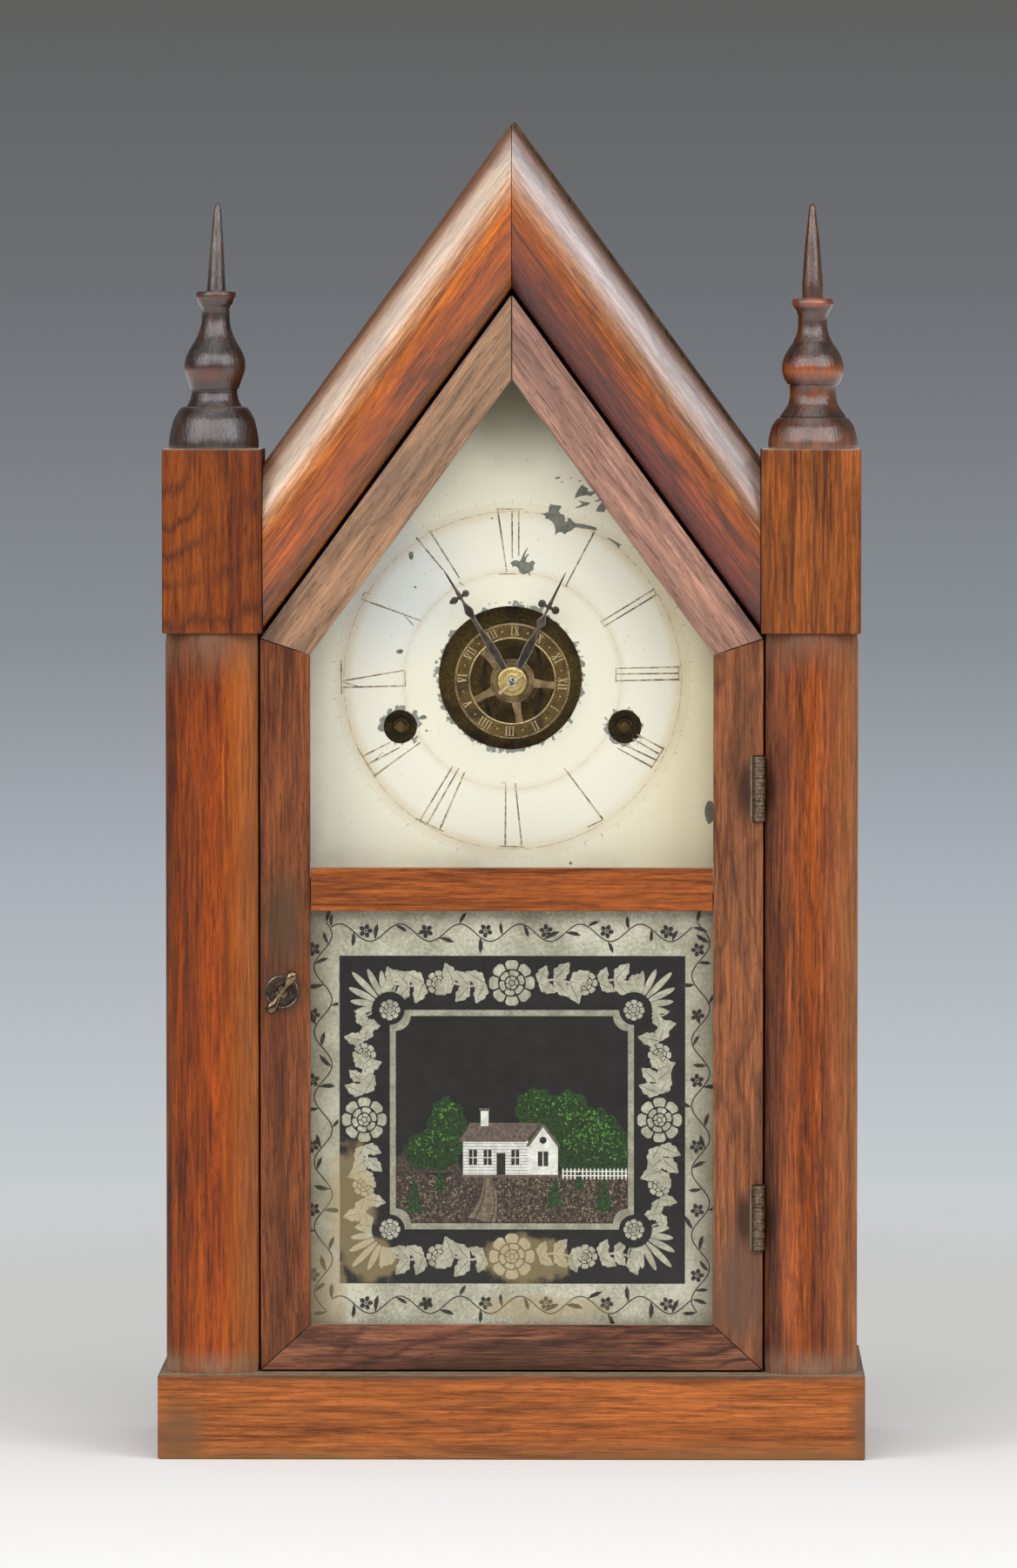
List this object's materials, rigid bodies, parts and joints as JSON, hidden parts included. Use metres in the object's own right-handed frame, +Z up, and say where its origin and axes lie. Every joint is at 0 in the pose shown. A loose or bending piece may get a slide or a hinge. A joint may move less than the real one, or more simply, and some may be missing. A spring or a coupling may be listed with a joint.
{
  "type": "steeple shelf clock",
  "caption": "Gabled wooden shelf clock with half round pillars, turned finials, a hinged glazed door, an alarm disc on the dial, and a pendulum movement inside",
  "frame": {"origin": "on the floor under the middle of the plinth", "axes": "+Z up, front faces -Y, +X to the right as the front is looked at"},
  "size_m": [0.26, 0.105, 0.4926],
  "materials": {
    "rosewood_veneer": "old shellac over figured rosewood veneer, satin",
    "turned_wood": "dark stained turned hardwood, satin polish",
    "pine": "aged pine, thinly stained, matte",
    "brass": "aged brass, dull",
    "blued_steel": "dark blued steel",
    "dark_iron": "dark japanned iron",
    "dial_paint": "ivory oil paint on sheet zinc, worn and stained",
    "clear_glass": "clear old window glass",
    "painted_glass": "glass painted on its back with a landscape and a leafy border"
  },
  "bodies": {
    "case": {"plinth_front": "rosewood_veneer", "plinth_return_left": "rosewood_veneer", "plinth_return_right": "rosewood_veneer", "pillar_left": "rosewood_veneer", "pillar_right": "rosewood_veneer", "cap_block_left": "rosewood_veneer", "cap_block_right": "rosewood_veneer", "gable_moulding_left": "rosewood_veneer", "gable_moulding_right": "rosewood_veneer", "finial_left": "turned_wood", "finial_right": "turned_wood", "case_floor": "pine", "case_side_left": "pine", "case_side_right": "pine", "roof_board_left": "pine", "roof_board_right": "pine", "back_board": "pine", "front_stile_left": "pine", "front_stile_right": "pine", "door_stop_left": "pine", "door_stop_right": "pine", "dial_rail_left": "pine", "dial_rail_right": "pine", "dial": "dial_paint", "front_plate": "brass", "rear_plate": "brass", "time_mainspring": "blued_steel", "strike_mainspring": "blued_steel", "gong": "blued_steel", "gong_base": "dark_iron", "alarm_works": "brass", "upper_hinge_case_leaf": "dark_iron", "lower_hinge_case_leaf": "dark_iron", "upper_hinge_pin": "blued_steel", "lower_hinge_pin": "blued_steel"},
    "door": {"door_stile_left": "rosewood_veneer", "door_stile_right": "rosewood_veneer", "door_rafter_left": "rosewood_veneer", "door_rafter_right": "rosewood_veneer", "door_rail_middle": "rosewood_veneer", "door_rail_bottom": "rosewood_veneer", "upper_glass": "clear_glass", "lower_tablet": "painted_glass", "upper_hinge_door_leaf": "dark_iron", "lower_hinge_door_leaf": "dark_iron", "knob_rose": "dark_iron"},
    "latch": {"door_knob": "brass", "latch_hook": "dark_iron"},
    "minute_work": {"minute_hand": "blued_steel", "centre_arbor": "brass"},
    "hour_work": {"hour_hand": "blued_steel"},
    "alarm_setting": {"alarm_disc": "brass"},
    "time_wheel": {"time_main_wheel": "brass"},
    "strike_wheel": {"strike_main_wheel": "brass"},
    "escape": {"escape_wheel": "brass"},
    "verge_arm": {"verge": "blued_steel"},
    "pendulum": {"pendulum_rod": "blued_steel", "pendulum_bob": "brass"},
    "striker": {"strike_hammer": "dark_iron"},
    "alarm_striker": {"alarm_hammer": "dark_iron"}
  },
  "joints": [
    {"name": "door_swing", "type": "hinge", "parent": "case", "child": "door", "pos_m": [0.0909, -0.0406, 0.16], "axis": [0, 0, 1], "range_deg": [0, 95]},
    {"name": "knob_turn", "type": "hinge", "parent": "door", "child": "latch", "pos_m": [-0.0845, -0.034, 0.1714], "axis": [0, 1, 0], "range_deg": [0, 90]},
    {"name": "minute_hand_turn", "type": "hinge", "parent": "case", "child": "minute_work", "pos_m": [0, 0, 0.2851], "axis": [0, 1, 0], "continuous": true},
    {"name": "hour_hand_turn", "type": "hinge", "parent": "case", "child": "hour_work", "pos_m": [0, -0.016, 0.2851], "axis": [0, 1, 0], "continuous": true},
    {"name": "alarm_disc_turn", "type": "hinge", "parent": "hour_work", "child": "alarm_setting", "pos_m": [0, -0.019, 0.2851], "axis": [0, 1, 0], "continuous": true},
    {"name": "time_wheel_turn", "type": "hinge", "parent": "case", "child": "time_wheel", "pos_m": [0.0415, 0, 0.268], "axis": [0, 1, 0], "continuous": true},
    {"name": "strike_wheel_turn", "type": "hinge", "parent": "case", "child": "strike_wheel", "pos_m": [-0.0415, 0, 0.268], "axis": [0, 1, 0], "continuous": true},
    {"name": "escape_wheel_turn", "type": "hinge", "parent": "case", "child": "escape", "pos_m": [0.014, 0, 0.322], "axis": [0, 1, 0], "continuous": true},
    {"name": "verge_rock", "type": "hinge", "parent": "case", "child": "verge_arm", "pos_m": [0.0135, -0.008, 0.341], "axis": [0, 1, 0], "range_deg": [-7.5, 7.5]},
    {"name": "pendulum_swing", "type": "hinge", "parent": "case", "child": "pendulum", "pos_m": [0, -0.0119, 0.352], "axis": [0, 1, 0], "range_deg": [-5, 5]},
    {"name": "strike_hammer_lift", "type": "hinge", "parent": "case", "child": "striker", "pos_m": [-0.03, 0.035, 0.226], "axis": [0, 1, 0], "range_deg": [0, 10]},
    {"name": "alarm_hammer_lift", "type": "hinge", "parent": "case", "child": "alarm_striker", "pos_m": [0.036, 0.035, 0.14], "axis": [0, 1, 0], "range_deg": [-14, 0]}
  ],
  "couplings": [
    {"joint": "hour_hand_turn", "follows": "minute_hand_turn", "ratio": 0.083333},
    {"joint": "time_wheel_turn", "follows": "minute_hand_turn", "ratio": -0.16842},
    {"joint": "verge_rock", "follows": "pendulum_swing", "ratio": 1.38}
  ]
}
